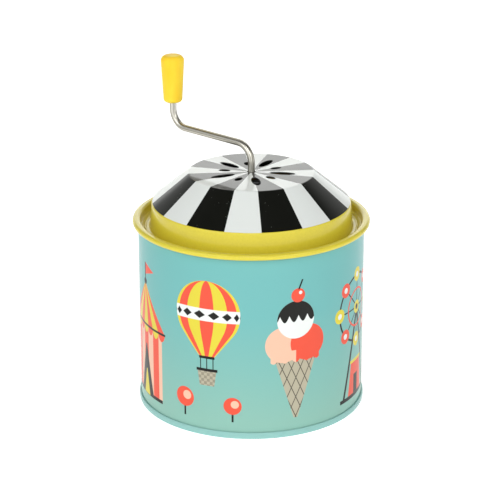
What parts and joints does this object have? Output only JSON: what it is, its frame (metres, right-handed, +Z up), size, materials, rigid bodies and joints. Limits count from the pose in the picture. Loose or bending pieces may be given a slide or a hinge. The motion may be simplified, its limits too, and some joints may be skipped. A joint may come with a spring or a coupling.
{
  "type": "hand crank music box",
  "caption": "Round tin music box with a domed striped lid, a bent wire hand crank with a tapered grip, and a worm-driven pinned drum and tone comb under the lid.",
  "frame": {"origin": "centre of the round base, on the surface that the tin stands on", "axes": "+Z up along the tin's axis and the crank shaft; -Y is the front seen in the picture, the crank arm points to the left and away from it"},
  "size_m": [0.1048, 0.1048, 0.1495],
  "materials": {
    "wall_print": null,
    "base_print": "glossy coated tinplate, turquoise",
    "lid_print": "glossy litho-printed tinplate, yellow with a black and white striped dome",
    "crank_nickel": "bright nickel-plated steel wire",
    "grip_plastic": "yellow moulded plastic, satin gloss",
    "movement_zinc": null,
    "movement_steel": "blackened pressed and turned steel",
    "tempered_steel": "hardened and tempered steel",
    "movement_brass": "dull turned brass",
    "cap_plastic": "black moulded plastic"
  },
  "bodies": {
    "tin": {"can_wall": "wall_print", "can_base": "base_print", "lid": "lid_print", "movement_bridge": "movement_steel", "bedplate": "movement_zinc", "shaft_bracket": "movement_steel", "lower_shaft_bush": "movement_brass", "upper_shaft_bush": "movement_brass", "tone_comb": "tempered_steel", "drum_bracket_left": "movement_steel", "drum_bracket_right": "movement_steel", "drum_bracket_screw_1": "movement_steel", "drum_bracket_screw_2": "movement_steel", "shaft_bracket_screw_1": "movement_steel", "comb_screw_1": "movement_steel", "comb_screw_2": "movement_steel", "comb_screw_3": "movement_steel", "mounting_screw_1": "movement_steel", "mounting_screw_2": "movement_steel", "mounting_screw_3": "movement_steel", "mounting_screw_4": "movement_steel"},
    "crank": {"crank_wire": "crank_nickel", "drive_worm": "movement_brass", "lower_thrust_washer": "tempered_steel", "upper_thrust_washer": "tempered_steel", "shaft_retaining_ring": "tempered_steel", "grip_stop_ring": "tempered_steel"},
    "grip": {"grip": "grip_plastic"},
    "drum": {"pinned_drum": "movement_brass", "drum_cap_left": "cap_plastic", "drum_cap_right": "cap_plastic", "drum_arbor": "tempered_steel", "worm_wheel": "movement_brass"}
  },
  "joints": [
    {"name": "crank_spin", "type": "hinge", "parent": "tin", "child": "crank", "pos_m": [0, 0, 0.1171], "axis": [0, 0, 1], "continuous": true},
    {"name": "grip_spin", "type": "hinge", "parent": "crank", "child": "grip", "pos_m": [-0.03527, 0.033, 0.1279], "axis": [0, 0, 1], "continuous": true},
    {"name": "drum_spin", "type": "hinge", "parent": "tin", "child": "drum", "pos_m": [0, 0.01, 0.0962], "axis": [1, 0, 0], "continuous": true}
  ],
  "couplings": [
    {"joint": "drum_spin", "follows": "crank_spin", "ratio": 0.0625}
  ]
}
